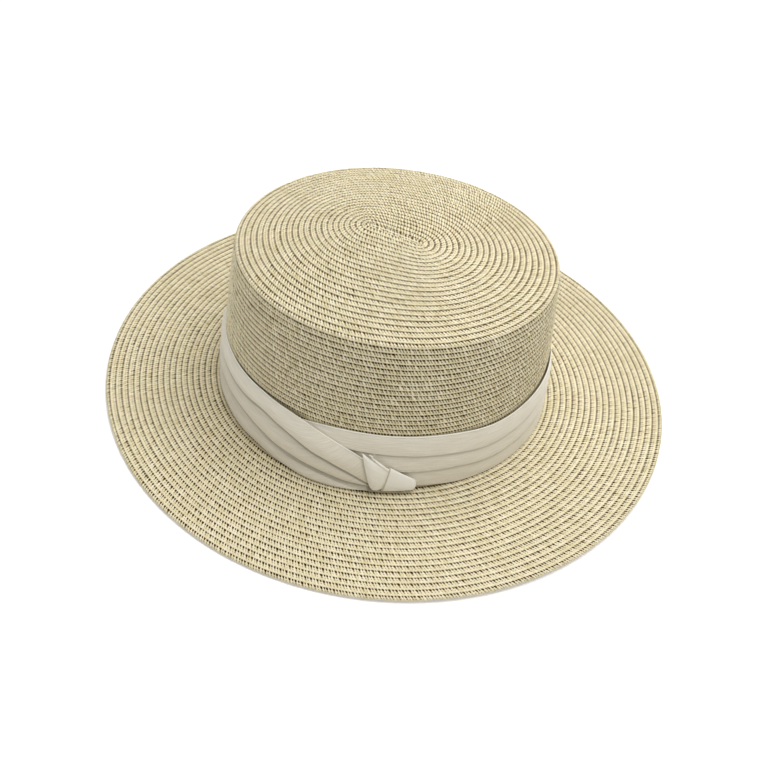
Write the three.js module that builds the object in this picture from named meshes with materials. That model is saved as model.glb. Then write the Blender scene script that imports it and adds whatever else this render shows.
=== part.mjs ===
// Boater hat: a crocheted straw body with a pleated ribbon, a knot and a short tail.
// Millimetres. +Z is up, X runs from the wearer's front (-X) to the back (+X),
// and -Y is the wearer's left, where the ribbon is knotted. The brim lies flat on z = 0.
import * as THREE from 'three';

// Straw body. Every row of the straw is an oval: its half width is measured along Y,
// and its half length along X is that half width plus a stretch.
const BRIM_HALF = 158.5;
const BRIM_STRETCH = 11.6;
const CROWN_BASE_HALF = 87;
const CROWN_BASE_STRETCH = 10.9;
const CROWN_TIP_HALF = 75.2;
const CROWN_TIP_STRETCH = 14;
const CROWN_FORWARD = 2.9;
const CROWN_HEIGHT = 101.5;
const WALL_BULGE = 0.9;
const TIP_DOME = 9;
const TIP_EDGE_RADIUS = 2.4;
const STRAW = 2;
const FOLD_RADIUS = 0.8;

// Ribbon. Angles are degrees round the crown: -90 is the wearer's left, 0 the back.
const GAP = 0.35;
const RIBBON_BOTTOM = STRAW + 0.6;
const RIBBON_TOP = 44;
const RIBBON_THICK = 1.15;
const PLEAT_RISE = 0.45;
const STRIP_START = -122;
const LIFT_START = -160;
const LIFT_END = -126;
const LEAVE_ANGLE = -116;

// Knot and tail. A seam's lean is how far its top stands off its middle, in degrees.
const KNOT_LEFT = -92.25;
const KNOT_RIGHT = -85.45;
const KNOT_LEFT_TOP = 28.8;
const KNOT_RIGHT_TOP = 19.2;
const KNOT_FOOT = 3.6;
const KNOT_DEPTH = 4.8;
const LEFT_LEAN = 1.55;
const RIGHT_LEAN = -0.95;
const SEAM_GAP = 0.42;
const TAIL_END = -76;
const TAIL_START_TOP = 20.4;
const TAIL_END_BOTTOM = 4.6;
const TAIL_END_TOP = 10;
const TAIL_DEPTH = 3.9;

// Number of steps round each oval of the straw, and round the knot and tail.
const ROUND_STEPS = 90;
const PAD_STEPS = 18;

const DEGREE = Math.PI / 180;
const mix = (from, to, share) => from + (to - from) * share;
const clamp01 = (value) => Math.min(1, Math.max(0, value));

/** Smooth step from 0 to 1 while value goes from low to high. */
function ease(value, low, high) {
  const share = clamp01((value - low) / (high - low));
  return share * share * (3 - 2 * share);
}

/** Share of the way up the crown wall, 0 at the brim and 1 at the tip's edge. */
function wallShare(height) {
  const top = CROWN_HEIGHT - TIP_EDGE_RADIUS;
  return clamp01((height - STRAW) / (top - STRAW));
}

/** Half width of the crown's outer face at a height. */
function wallHalf(height) {
  const share = wallShare(height);
  const bulge = 4 * share * (1 - share) * WALL_BULGE;
  return mix(CROWN_BASE_HALF, CROWN_TIP_HALF, share) + bulge;
}

/** Stretch of the crown's ovals at a height. */
function wallStretch(height) {
  return mix(CROWN_BASE_STRETCH, CROWN_TIP_STRETCH, wallShare(height));
}

/** One point of an oval at an angle in radians. */
function ovalPoint(half, stretch, forward, height, angle) {
  const x = (half + stretch) * Math.cos(angle) - forward;
  return new THREE.Vector3(x, half * Math.sin(angle), height);
}

/** A closed oval ring of points, counter-clockwise from above. */
function ovalRing({ half, stretch, forward, height }) {
  const points = [];
  for (let step = 0; step < ROUND_STEPS; step += 1) {
    const angle = (2 * Math.PI * step) / ROUND_STEPS;
    points.push(ovalPoint(half, stretch, forward, height, angle));
  }
  return points;
}

/** A point on the crown's wall, moved outward by an offset. Angle in degrees. */
function onCrown(angle, height, offset) {
  const half = wallHalf(height) + offset;
  return ovalPoint(half, wallStretch(height), CROWN_FORWARD, height, angle * DEGREE);
}

/** A ring on the brim: its stretch and its centre run from the crown's to the edge's. */
function brimRing(half, height) {
  const share = clamp01((half - CROWN_BASE_HALF) / (BRIM_HALF - CROWN_BASE_HALF));
  return {
    half,
    stretch: mix(CROWN_BASE_STRETCH, BRIM_STRETCH, share),
    forward: mix(CROWN_FORWARD, 0, share),
    height,
  };
}

/** A ring on the crown's wall, moved inward by a depth. */
function wallRing(height, depth = 0) {
  return {
    half: wallHalf(height) - depth,
    stretch: wallStretch(height),
    forward: CROWN_FORWARD,
    height,
  };
}

/** A ring on the domed tip, at a share of its half width. */
function tipRing(share, half, depth) {
  return {
    half: half * share,
    stretch: CROWN_TIP_STRETCH * share,
    forward: CROWN_FORWARD,
    height: CROWN_HEIGHT - depth + TIP_DOME * (1 - share * share),
  };
}

/** Rings of a quarter-round turn between two ring makers' ends. */
function turnRings(centreHalf, centreHeight, radius, fromDegrees, toDegrees, count, make) {
  const rings = [];
  for (let step = 0; step <= count; step += 1) {
    const angle = mix(fromDegrees, toDegrees, step / count) * DEGREE;
    const half = centreHalf + radius * Math.cos(angle);
    rings.push(make(half, centreHeight + radius * Math.sin(angle)));
  }
  return rings;
}

/** Evenly spread numbers between two ends, without the ends. */
function between(from, to, count) {
  return Array.from({ length: count }, (_, step) => mix(from, to, (step + 1) / (count + 1)));
}

/** Triangles between neighbouring rings, with the ends closed to a point or by a cap. */
function loftMesh(rings, { poles = null, caps = false } = {}) {
  const positions = [];
  const indices = [];
  const size = rings[0].length;
  rings.flat().forEach((point) => positions.push(point.x, point.y, point.z));
  for (let row = 0; row + 1 < rings.length; row += 1) {
    for (let step = 0; step < size; step += 1) {
      const next = (step + 1) % size;
      const a = row * size + step;
      const b = row * size + next;
      indices.push(a, b + size, b, a, a + size, b + size);
    }
  }
  const last = (rings.length - 1) * size;
  if (poles) {
    const first = positions.length / 3;
    poles.forEach((point) => positions.push(point.x, point.y, point.z));
    for (let step = 0; step < size; step += 1) {
      const next = (step + 1) % size;
      indices.push(first, step, next);
      indices.push(first + 1, last + next, last + step);
    }
  }
  if (caps) {
    capTriangles(rings[0]).forEach(([a, b, c]) => indices.push(a, b, c));
    capTriangles(rings[rings.length - 1]).forEach(([a, b, c]) =>
      indices.push(last + a, last + c, last + b));
  }
  const geometry = new THREE.BufferGeometry();
  geometry.setAttribute('position', new THREE.Float32BufferAttribute(positions, 3));
  geometry.setIndex(indices);
  geometry.computeVertexNormals();
  return geometry;
}

/** Triangles that fill one ring, in the ring's own order. */
function capTriangles(ring) {
  const middle = new THREE.Vector3();
  ring.forEach((point) => middle.addScaledVector(point, 1 / ring.length));
  const normal = new THREE.Vector3();
  ring.forEach((point, step) => {
    const next = ring[(step + 1) % ring.length];
    normal.add(point.clone().sub(middle).cross(next.clone().sub(middle)));
  });
  normal.normalize();
  const across = ring[0].clone().sub(middle).normalize();
  const up = normal.clone().cross(across);
  const contour = ring.map((point) => {
    const offset = point.clone().sub(middle);
    return new THREE.Vector2(offset.dot(across), offset.dot(up));
  });
  return THREE.ShapeUtils.triangulateShape(contour, []);
}

// The straw body goes from the middle of the tip, down the outside, over the brim,
// round its edge, back under it and up the inside to the middle again.
function strawGeometry() {
  const tipHalf = CROWN_TIP_HALF - TIP_EDGE_RADIUS;
  const tipWall = CROWN_HEIGHT - TIP_EDGE_RADIUS;
  const wallAt = (half, height) => ({ ...wallRing(tipWall), half, height });
  const insideHalf = CROWN_BASE_HALF - STRAW;
  const edgeRadius = STRAW / 2;
  const outside = [
    ...[0.12, 0.3, 0.5, 0.68, 0.84].map((share) => tipRing(share, tipHalf, 0)),
    ...turnRings(tipHalf, tipWall, TIP_EDGE_RADIUS, 90, 0, 3, wallAt),
    ...between(tipWall, STRAW + FOLD_RADIUS, 8).map((height) => wallRing(height)),
    ...turnRings(CROWN_BASE_HALF + FOLD_RADIUS, STRAW + FOLD_RADIUS, FOLD_RADIUS,
      180, 270, 2, brimRing),
    ...between(CROWN_BASE_HALF, BRIM_HALF, 4).map((half) => brimRing(half, STRAW)),
  ];
  const edge = turnRings(BRIM_HALF - edgeRadius, edgeRadius, edgeRadius, 90, -90, 4, brimRing);
  const inside = [
    ...between(BRIM_HALF, insideHalf, 3).map((half) => brimRing(half, 0)),
    ...turnRings(insideHalf + STRAW, STRAW, STRAW, 270, 180, 2, brimRing),
    ...between(STRAW, tipWall, 6).map((height) => wallRing(height, STRAW)),
    ...[1, 0.84, 0.6, 0.3].map((share) => tipRing(share, tipHalf - 1, STRAW)),
  ];
  const rings = [...outside, ...edge, ...inside].map(ovalRing);
  const middle = (depth) => {
    const height = CROWN_HEIGHT + TIP_DOME - depth;
    return new THREE.Vector3(-CROWN_FORWARD, 0, height);
  };
  return loftMesh(rings, { poles: [middle(0), middle(STRAW)] });
}

// Pleats: each tier of the ribbon hangs over the one below it like a clapboard. The
// edge between two tiers is a share of the ribbon's height. From the angle given it
// sinks towards the foot as the strip is gathered into the knot.
const TIER_EDGES = [
  { share: 0.33, sinksFrom: -136, power: 1 },
  { share: 0.645, sinksFrom: -128, power: 2 },
];
const EDGE_STEP = 0.012;
const SUNK_SHARE = 0.15;

/** Heights of the edges between tiers, as shares, at an angle along the strip. */
function tierEdges(angle, isOver) {
  return TIER_EDGES.map(({ share, sinksFrom, power }) => {
    const sunk = isOver ? clamp01((angle - sinksFrom) / (KNOT_LEFT - sinksFrom)) ** power : 0;
    return mix(share, share * SUNK_SHARE, sunk);
  });
}

/** One cross-section of the ribbon strip at an angle along it. */
function stripSection(along) {
  const isOver = along > 180;
  const angle = isOver ? along - 360 : along;
  const lift = isOver ? ease(angle, LIFT_START, LIFT_END) : 0;
  const slack = isOver ? clamp01((angle - LEAVE_ANGLE) / (KNOT_LEFT - LEAVE_ANGLE)) : 0;
  const top = mix(RIBBON_TOP, KNOT_LEFT_TOP, slack);
  const under = GAP + lift * (RIBBON_THICK + PLEAT_RISE + GAP);
  const at = (share, offset) => {
    const lean = slack * LEFT_LEAN * (1 - 2 * share);
    return onCrown(angle + lean, mix(RIBBON_BOTTOM, top, share), under + offset);
  };
  const [low, high] = tierEdges(angle, isOver);
  const proud = RIBBON_THICK + PLEAT_RISE;
  return [
    at(1, 0), at(0.5, 0), at(0.04, 0), at(0, FOLD_RADIUS),
    at(0, proud), at(low, RIBBON_THICK), at(low + EDGE_STEP, proud),
    at(high, RIBBON_THICK), at(high + EDGE_STEP, proud), at(1, RIBBON_THICK),
  ];
}

function stripGeometry() {
  const last = 360 + KNOT_LEFT - SEAM_GAP;
  const steps = Math.round((last - STRIP_START) / 4);
  const rings = Array.from({ length: steps + 1 }, (_, step) =>
    stripSection(mix(STRIP_START, last, step / steps)));
  return loftMesh(rings, { caps: true });
}

/** A rounded section that stands on the ribbon: a flattened oval from foot to top. */
function padRing({ angle, lean, foot, top, depth }) {
  const base = GAP + RIBBON_THICK + PLEAT_RISE + GAP;
  return Array.from({ length: PAD_STEPS }, (_, step) => {
    const turn = (-2 * Math.PI * step) / PAD_STEPS;
    const rise = Math.cos(turn);
    const swell = Math.sign(Math.sin(turn)) * Math.abs(Math.sin(turn)) ** 0.8;
    const offset = base + (depth * (1 + swell)) / 2;
    return onCrown(angle - lean * rise, mix(foot, top, (1 + rise) / 2), offset);
  });
}

function knotGeometry() {
  const rings = [0, 0.12, 0.3, 0.5, 0.7, 0.88, 1].map((share) => padRing({
    angle: mix(KNOT_LEFT, KNOT_RIGHT, share),
    lean: mix(LEFT_LEAN, RIGHT_LEAN, share),
    foot: KNOT_FOOT,
    top: mix(KNOT_LEFT_TOP, KNOT_RIGHT_TOP, share),
    depth: KNOT_DEPTH * Math.sqrt(Math.sin(Math.PI * mix(0.15, 0.85, share))),
  }));
  return loftMesh(rings, { caps: true });
}

function tailGeometry() {
  const rings = [0, 0.25, 0.5, 0.75, 0.92, 1].map((share) => {
    const blunt = 1 - 4 * Math.max(0, share - 0.9);
    const foot = mix(KNOT_FOOT, TAIL_END_BOTTOM, share);
    const top = mix(TAIL_START_TOP, TAIL_END_TOP, share);
    const middle = (foot + top) / 2;
    return padRing({
      angle: mix(KNOT_RIGHT + SEAM_GAP, TAIL_END, share),
      lean: mix(RIGHT_LEAN, 0, share),
      foot: mix(middle, foot, blunt),
      top: mix(middle, top, blunt),
      depth: TAIL_DEPTH * mix(1, 0.75, share) * blunt,
    });
  });
  return loftMesh(rings, { caps: true });
}

const STRAW_FINISH = { color: 0xd9cda3, roughness: 0.85, metalness: 0 };
const CLOTH_FINISH = { color: 0xd6cfbc, roughness: 0.7, metalness: 0 };

const PIECES = [
  { name: 'straw_body', make: strawGeometry, finish: STRAW_FINISH },
  { name: 'ribbon_band', make: stripGeometry, finish: CLOTH_FINISH },
  { name: 'ribbon_knot', make: knotGeometry, finish: CLOTH_FINISH },
  { name: 'ribbon_tail', make: tailGeometry, finish: CLOTH_FINISH },
];

const hat = new THREE.Group();
hat.name = 'boater_hat';
PIECES.forEach(({ name, make, finish }) => {
  const mesh = new THREE.Mesh(make(), new THREE.MeshStandardMaterial(finish));
  mesh.name = name;
  hat.add(mesh);
});

export default hat;
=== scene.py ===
"""Boater hat: a body crocheted in paper straw, with a pleated ribbon, a knot and a tail.

Sizes are in millimetres until a mesh is made, and a mesh is in metres. +Z is up, X runs
from the wearer's front (-X) to the back (+X), and -Y is the wearer's left, where the
ribbon is knotted. Angles round the hat are measured from +X, counter-clockwise from above.
"""

import logging
import math
from collections.abc import Callable
from dataclasses import dataclass, field
from enum import Enum
from functools import partial

import bpy
import numpy as np
from mathutils import Matrix, Vector


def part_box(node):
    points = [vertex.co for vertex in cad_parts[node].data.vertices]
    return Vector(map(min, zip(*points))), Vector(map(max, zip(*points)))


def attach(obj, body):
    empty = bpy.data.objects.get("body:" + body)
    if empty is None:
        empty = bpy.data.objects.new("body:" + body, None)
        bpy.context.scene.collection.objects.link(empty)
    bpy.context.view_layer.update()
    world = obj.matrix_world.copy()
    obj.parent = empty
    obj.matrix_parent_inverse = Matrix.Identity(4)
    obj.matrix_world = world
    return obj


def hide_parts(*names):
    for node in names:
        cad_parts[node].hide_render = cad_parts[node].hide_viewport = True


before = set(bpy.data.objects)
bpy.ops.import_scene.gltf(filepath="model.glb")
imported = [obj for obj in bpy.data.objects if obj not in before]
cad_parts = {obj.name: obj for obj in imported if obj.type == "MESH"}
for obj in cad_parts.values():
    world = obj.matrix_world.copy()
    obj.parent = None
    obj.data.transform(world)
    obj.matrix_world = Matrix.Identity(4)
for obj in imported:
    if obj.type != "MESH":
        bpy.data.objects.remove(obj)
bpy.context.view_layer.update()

MM = 0.001
BODY = "root"
LOG = logging.getLogger("boater_hat")
FULL_TURN = 2.0 * math.pi
AddNode = Callable[..., bpy.types.NodeSocket]
# A curve's knots: pairs of place and value, in order of place.
Knots = tuple[tuple[float, float], ...]


class Slot(Enum):
    """Names of the material slots."""

    STRAW = "straw"
    RIBBON = "ribbon"


def mix(start: float, end: float, share: np.ndarray | float) -> np.ndarray | float:
    """Return the value at a share of the way from start to end."""
    return start + (end - start) * share


def ease(value: np.ndarray | float, low: float, high: float) -> np.ndarray | float:
    """Return a smooth step from 0 to 1 while value goes from low to high."""
    share = np.clip((np.asarray(value, dtype=float) - low) / (high - low), 0.0, 1.0)
    return share * share * (3.0 - 2.0 * share)


def bell(value: np.ndarray, width: float) -> np.ndarray:
    """Return a bell curve that is 1 where value is 0 and fades over a width."""
    return np.exp(-((value / width) ** 2))


def smooth_curve(knots: Knots, at: np.ndarray | float) -> np.ndarray:
    """Return a smooth curve through a few given knots.

    Args:
        knots: The curve's knots.
        at: The places to read the curve at.

    Returns:
        The curve's values, held level beyond the first and last knots.
    """
    place, value = np.array(knots, dtype=float).T
    slope = np.gradient(value, place)
    slope[[0, -1]] = 0.0
    spot = np.clip(np.asarray(at, dtype=float), place[0], place[-1])
    index = np.clip(np.searchsorted(place, spot, side="right") - 1, 0, len(place) - 2)
    width = place[index + 1] - place[index]
    share = (spot - place[index]) / width
    low, high = value[index], value[index + 1]
    square, cube = share**2, share**3
    return (
        low * (2 * cube - 3 * square + 1)
        + high * (3 * square - 2 * cube)
        + width * slope[index] * (cube - 2 * square + share)
        + width * slope[index + 1] * (cube - square)
    )


def ripple(rng: np.random.Generator, turn: np.ndarray, waves: range) -> np.ndarray:
    """Return a smooth random wave round a ring, of about unit height.

    Args:
        rng: The seeded source of the phases.
        turn: Angles in radians.
        waves: The whole numbers of waves round the ring that are added up.
    """
    total = np.zeros_like(turn)
    for count in waves:
        total += np.cos(count * turn + rng.uniform(0.0, FULL_TURN))
    return total * math.sqrt(2.0 / len(waves))


def linear_colour(code: str) -> tuple[float, float, float, float]:
    """Turn an sRGB hex colour such as "d9cda3" to a linear RGBA colour."""
    channels = [int(code[at : at + 2], 16) / 255.0 for at in (0, 2, 4)]
    linear = [c / 12.92 if c <= 0.04045 else ((c + 0.055) / 1.055) ** 2.4 for c in channels]
    return (linear[0], linear[1], linear[2], 1.0)


def add_node(
    tree: bpy.types.NodeTree,
    kind: str,
    settings: dict | None = None,
    values: dict | None = None,
    links: dict | None = None,
    out: str | int = 0,
) -> bpy.types.NodeSocket:
    """Add a shader node with its settings, socket values and incoming links.

    Args:
        tree: The node tree that gets the node.
        kind: The node's type without its first word, such as "Mix".
        settings: Properties of the node itself.
        values: Socket default values, by socket name or number.
        links: Output sockets that feed this node, by input name or number.
        out: Name or number of the output to return.

    Returns:
        One of the new node's output sockets.
    """
    node = tree.nodes.new(f"ShaderNode{kind}")
    for name, value in (settings or {}).items():
        setattr(node, name, value)
    for name, value in (values or {}).items():
        node.inputs[name].default_value = value
    for name, source in (links or {}).items():
        tree.links.new(source, node.inputs[name])
    return node.outputs[out]


def start_material(name: str) -> tuple[bpy.types.Material, AddNode]:
    """Return a new empty material and a function that adds nodes to it."""
    material = bpy.data.materials.new(name)
    material.use_nodes = True
    material.node_tree.nodes.clear()
    return material, partial(add_node, material.node_tree)


def end_material(material: bpy.types.Material, values: dict, links: dict) -> bpy.types.Material:
    """Give a material its surface.

    Args:
        material: The material, with its other nodes in place.
        values: The shader's socket values, by name.
        links: Output sockets that feed the shader, by input name.
    """
    surface = add_node(material.node_tree, "BsdfPrincipled", None, values, links)
    output = material.node_tree.nodes.new("ShaderNodeOutputMaterial")
    material.node_tree.links.new(surface, output.inputs["Surface"])
    return material


@dataclass
class MeshParts:
    """Vertices, quads and per-vertex attributes, gathered before one mesh is made."""

    points: list[np.ndarray] = field(default_factory=list)
    quads: list[np.ndarray] = field(default_factory=list)
    attributes: dict[str, list[np.ndarray]] = field(default_factory=dict)
    count: int = 0

    def add_grid(
        self, points: np.ndarray, wrap: bool, attributes: dict[str, np.ndarray] | None = None
    ) -> None:
        """Add a grid of points as quads.

        Args:
            points: Lines x columns x 3, in millimetres. The faces look along
                (next line - line) x (next column - column).
            wrap: Whether the last column joins the first.
            attributes: Named numbers or vectors for each point of the grid.
        """
        lines, columns = points.shape[:2]
        index = np.arange(lines * columns).reshape(lines, columns) + self.count
        after = np.roll(index, -1, axis=1) if wrap else index[:, 1:]
        here = index if wrap else index[:, :-1]
        quads = np.stack([here[:-1], here[1:], after[1:], after[:-1]], axis=-1)
        self.quads.append(quads.reshape(-1, 4))
        self.points.append(points.reshape(-1, 3))
        self.count += lines * columns
        for name, values in (attributes or {}).items():
            self.attributes.setdefault(name, []).append(values.reshape(lines * columns, -1))

    def build(self, name: str) -> bpy.types.Object:
        """Make the object, in metres, smooth shaded and with its attributes."""
        points = np.concatenate(self.points) * MM
        quads = np.concatenate(self.quads).astype(np.int32)
        mesh = bpy.data.meshes.new(name)
        mesh.vertices.add(len(points))
        mesh.vertices.foreach_set("co", points.astype(np.float32).ravel())
        mesh.loops.add(quads.size)
        mesh.loops.foreach_set("vertex_index", quads.ravel())
        mesh.polygons.add(len(quads))
        mesh.polygons.foreach_set("loop_start", np.arange(0, quads.size, 4, dtype=np.int32))
        mesh.update(calc_edges=True)
        mesh.validate()
        mesh.shade_smooth()
        for label, tables in self.attributes.items():
            values = np.concatenate(tables).astype(np.float32)
            kind, key = ("FLOAT", "value") if values.shape[1] == 1 else ("FLOAT_VECTOR", "vector")
            mesh.attributes.new(label, kind, "POINT").data.foreach_set(key, values.ravel())
        piece = bpy.data.objects.new(name, mesh)
        bpy.context.scene.collection.objects.link(piece)
        return piece


@dataclass(frozen=True)
class CrochetedPaperStraw:
    """Paper straw: strips of paper twisted to yarn and crocheted tight.

    To the eye it is matt, pale and warm. Each strand's crest is painted a little brighter, as a
    highlight, and olive-brown shade is painted down in the holes between the stitches.
    """

    name: str = "crocheted_paper_straw"
    # Strand and crest mix by each strand's tone, which differs at random and carries a painted
    # highlight; slope and hole are painted shade between the strands and in the pits.
    crest: str = "fbf1d5"
    strand: str = "dccfa3"
    slope: str = "8a6c24"
    hole: str = "463002"
    # Depths below a strand's crest where the light gets lost between the strands.
    slope_start: float = 0.4
    slope_depth: float = 1.1
    hole_depth: float = 1.7
    # Lines of pits along each row, each pit painted as a dark spot of shade down in its hole: how far
    # the line is from the row's groove, half a pit's length and half its width in millimetres, and how
    # dark it is, up to 1.
    pit_lines: tuple[tuple[float, float, float, float], ...] = (
        (0.5, 0.58, 0.8, 1.0),
        (2.05, 0.42, 0.38, 0.6),
    )
    # A pit's painted shade darkens from the first of these shares of its size to the second.
    pit_rim: tuple[float, float] = (1.15, 0.7)
    # From the middle of one pit to the next one along the row.
    pit_spacing_mm: float = 1.7
    roughness: float = 0.85
    ior: float = 1.5
    # Loose paper fibres scatter nearly all the light, so that little is mirrored.
    specular: float = 0.03
    # The twisted paper has creases about 0.15 mm wide. They are drawn 0.35 mm wide to show.
    crease_mm: float = 0.35
    crease_depth_mm: float = 0.1
    # A crease's width as a share of its length.
    crease_slimness: float = 0.18
    # How much the creases and the patches change the shade, and the noise between which
    # values they are read from.
    crease_change: float = 0.35
    crease_noise: tuple[float, float] = (0.35, 0.65)
    patch_change: float = 0.08
    patch_noise: tuple[float, float] = (0.3, 0.7)
    # Each ball of yarn is dyed a little unevenly, over a few centimetres of work.
    patch_mm: float = 22.0

    def pit_share(
        self, add: AddNode, line: tuple[float, float, float, float]
    ) -> bpy.types.NodeSocket:
        """Return the share of painted shade of one line of pits, as a socket.

        Args:
            add: The function that adds nodes to the material.
            line: One of the pit lines.
        """
        centre, half_length, half_width, dark = line
        # Only the first coordinate is wrapped, so the others get ends far out of reach.
        far = 1.0e6
        pits = add("Attribute", {"attribute_name": "pits"}, out="Vector")
        ends = {1: (0.5, far, far), 2: (-0.5, -far, -far)}
        near = add("VectorMath", {"operation": "WRAP"}, ends, {0: pits})
        scale = (self.pit_spacing_mm / half_length, 1.0 / half_width, 0.0)
        shift = (0.0, -centre / half_width, 0.0)
        scaled = add("VectorMath", {"operation": "MULTIPLY_ADD"}, {1: scale, 2: shift}, {0: near})
        distance = add("VectorMath", {"operation": "LENGTH"}, links={0: scaled}, out="Value")
        size = add("SeparateXYZ", links={0: pits}, out="Z")
        sized = add("Math", {"operation": "DIVIDE"}, links={0: distance, 1: size})
        rim = {"From Min": self.pit_rim[0], "From Max": self.pit_rim[1], "To Max": dark}
        return add("MapRange", {"interpolation_type": "SMOOTHSTEP"}, rim, {"Value": sized})

    def depth_share(
        self, add: AddNode, depth: bpy.types.NodeSocket, low: float, high: float
    ) -> bpy.types.NodeSocket:
        """Return a smooth step from 0 to 1 while the depth goes from low to high."""
        span = {"From Min": low, "From Max": high}
        return add("MapRange", {"interpolation_type": "SMOOTHSTEP"}, span, {"Value": depth})

    def build(self) -> bpy.types.Material:
        """Make the material from the stitches' own attributes and fine noise."""
        material, add = start_material(self.name)
        depth = add("Attribute", {"attribute_name": "depth"}, out="Fac")
        shade = add("Attribute", {"attribute_name": "tone"}, out="Fac")
        yarn = add("Attribute", {"attribute_name": "yarn"}, out="Vector")
        shape = (1.0 / self.crease_mm, self.crease_slimness / self.crease_mm, 1.0)
        stretched = add("VectorMath", {"operation": "MULTIPLY"}, {1: shape}, {0: yarn})
        fine = {"Scale": 1.0, "Detail": 2.0, "Roughness": 0.6}
        creases = add("TexNoise", None, fine, {"Vector": stretched})
        coarse = {"Scale": 1.0 / (self.patch_mm * MM), "Detail": 3.0}
        patches = add("TexNoise", None, coarse, {"Vector": add("TexCoord", out="Object")})
        for noise, (low, high), change in (
            (patches, self.patch_noise, self.patch_change),
            (creases, self.crease_noise, self.crease_change),
        ):
            span = {"From Min": low, "From Max": high, "To Min": -change, "To Max": change}
            step = add("MapRange", None, span, {"Value": noise})
            shade = add("Math", {"operation": "ADD"}, links={0: shade, 1: step})
        rgba = {"data_type": "RGBA"}
        straw = {"A": linear_colour(self.strand), "B": linear_colour(self.crest)}
        colour = add("Mix", rgba, straw, {"Factor": shade}, "Result")
        # Shade is painted into the slopes and holes by their depth, and into the pits as dark spots.
        tints = [
            (self.slope, self.depth_share(add, depth, self.slope_start, self.slope_depth)),
            (self.hole, self.depth_share(add, depth, self.slope_depth, self.hole_depth)),
            *((self.hole, self.pit_share(add, line)) for line in self.pit_lines),
        ]
        for code, share in tints:
            tint = {"B": linear_colour(code)}
            colour = add("Mix", rgba, tint, {"Factor": share, "A": colour}, "Result")
        relief = {"Strength": 0.6, "Distance": self.crease_depth_mm * MM}
        bump = add("Bump", None, relief, {"Height": creases})
        finish = {
            "Roughness": self.roughness,
            "IOR": self.ior,
            "Specular IOR Level": self.specular,
        }
        return end_material(material, finish, {"Base Color": colour, "Normal": bump})


@dataclass(frozen=True)
class PlainWovenCloth:
    """Plain-woven cotton-like ribbon cloth in greige, pressed into pleats.

    To the eye it is smooth and soft matt, with a faint grain of threads and a slight
    sheen where it turns over a fold.
    """

    name: str = "plain_woven_ribbon_cloth"
    thread: str = "fcf6e8"
    shade: str = "d9d1bb"
    # Edges are painted paler, as a highlight where they catch the light, and creases are painted
    # darker, as shade where they keep the light out.
    edge: str = "fffdf4"
    crease: str = "6f6648"
    roughness: float = 0.62
    ior: float = 1.45
    sheen: float = 0.45
    # A tightly woven plain cloth mirrors a little less than bare fibre.
    specular: float = 0.3
    # The threads are about 0.15 mm apart. They are drawn 0.5 mm apart to show at all.
    thread_mm: float = 0.5
    thread_depth_mm: float = 0.05
    # How much the weave counts next to the slubs.
    weave: float = 0.35
    # Slubs: thicker stretches of a thread, some 12 mm long and 0.6 mm wide.
    slub_mm: tuple[float, float] = (12.0, 0.625)

    def build(self) -> bpy.types.Material:
        """Make the material from the cloth's own coordinates in millimetres."""
        material, add = start_material(self.name)
        cloth = add("Attribute", {"attribute_name": "cloth"}, out="Vector")
        waves = []
        for axis in ("X", "Y"):
            place = add("SeparateXYZ", links={0: cloth}, out=axis)
            turns = {1: FULL_TURN / self.thread_mm}
            phase = add("Math", {"operation": "MULTIPLY"}, turns, {0: place})
            waves.append(add("Math", {"operation": "SINE"}, links={0: phase}))
        weave = add("Math", {"operation": "MULTIPLY"}, links=dict(enumerate(waves)))
        shape = (1.0 / self.slub_mm[0], 1.0 / self.slub_mm[1], 1.0)
        slub_place = add("VectorMath", {"operation": "MULTIPLY"}, {1: shape}, {0: cloth})
        slubs = add("TexNoise", None, {"Scale": 1.0, "Detail": 3.0}, {"Vector": slub_place})
        height = add("Math", {"operation": "MULTIPLY_ADD"}, {1: self.weave}, {0: weave, 2: slubs})
        shade = add("MapRange", None, {"From Min": 0.1, "From Max": 0.9}, {"Value": height})
        rgba = {"data_type": "RGBA"}
        threads = {"A": linear_colour(self.shade), "B": linear_colour(self.thread)}
        colour = add("Mix", rgba, threads, {"Factor": shade}, "Result")
        # The fold attribute paints shade into the creases and highlights onto the edges.
        fold = add("Attribute", {"attribute_name": "fold"}, out="Fac")
        for code, far in ((self.crease, -1.0), (self.edge, 1.0)):
            share = add("MapRange", None, {"From Min": 0.0, "From Max": far}, {"Value": fold})
            tint = {"B": linear_colour(code)}
            colour = add("Mix", rgba, tint, {"Factor": share, "A": colour}, "Result")
        relief = {"Strength": 0.35, "Distance": self.thread_depth_mm * MM}
        bump = add("Bump", None, relief, {"Height": height})
        finish = {
            "Roughness": self.roughness,
            "IOR": self.ior,
            "Specular IOR Level": self.specular,
            "Sheen Weight": self.sheen,
            "Sheen Roughness": 0.5,
        }
        return end_material(material, finish, {"Base Color": colour, "Normal": bump})


@dataclass(frozen=True)
class StudioPaper:
    """Seamless white studio paper, lit from all round, so that shadows on it are faint."""

    name: str = "white_studio_paper"
    colour: str = "fbfbfa"
    roughness: float = 0.9
    glow: float = 0.26

    def build(self) -> bpy.types.Material:
        """Make the paper, with a little light of its own in place of light from behind."""
        material, add = start_material(self.name)
        grain = add("TexNoise", None, {"Scale": 900.0})
        bump = add("Bump", None, {"Strength": 0.1, "Distance": 0.0001}, {"Height": grain})
        finish = {
            "Base Color": linear_colour(self.colour),
            "Roughness": self.roughness,
            "Emission Color": (1.0, 1.0, 1.0, 1.0),
            "Emission Strength": self.glow,
        }
        return end_material(material, finish, {"Normal": bump})


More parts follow.
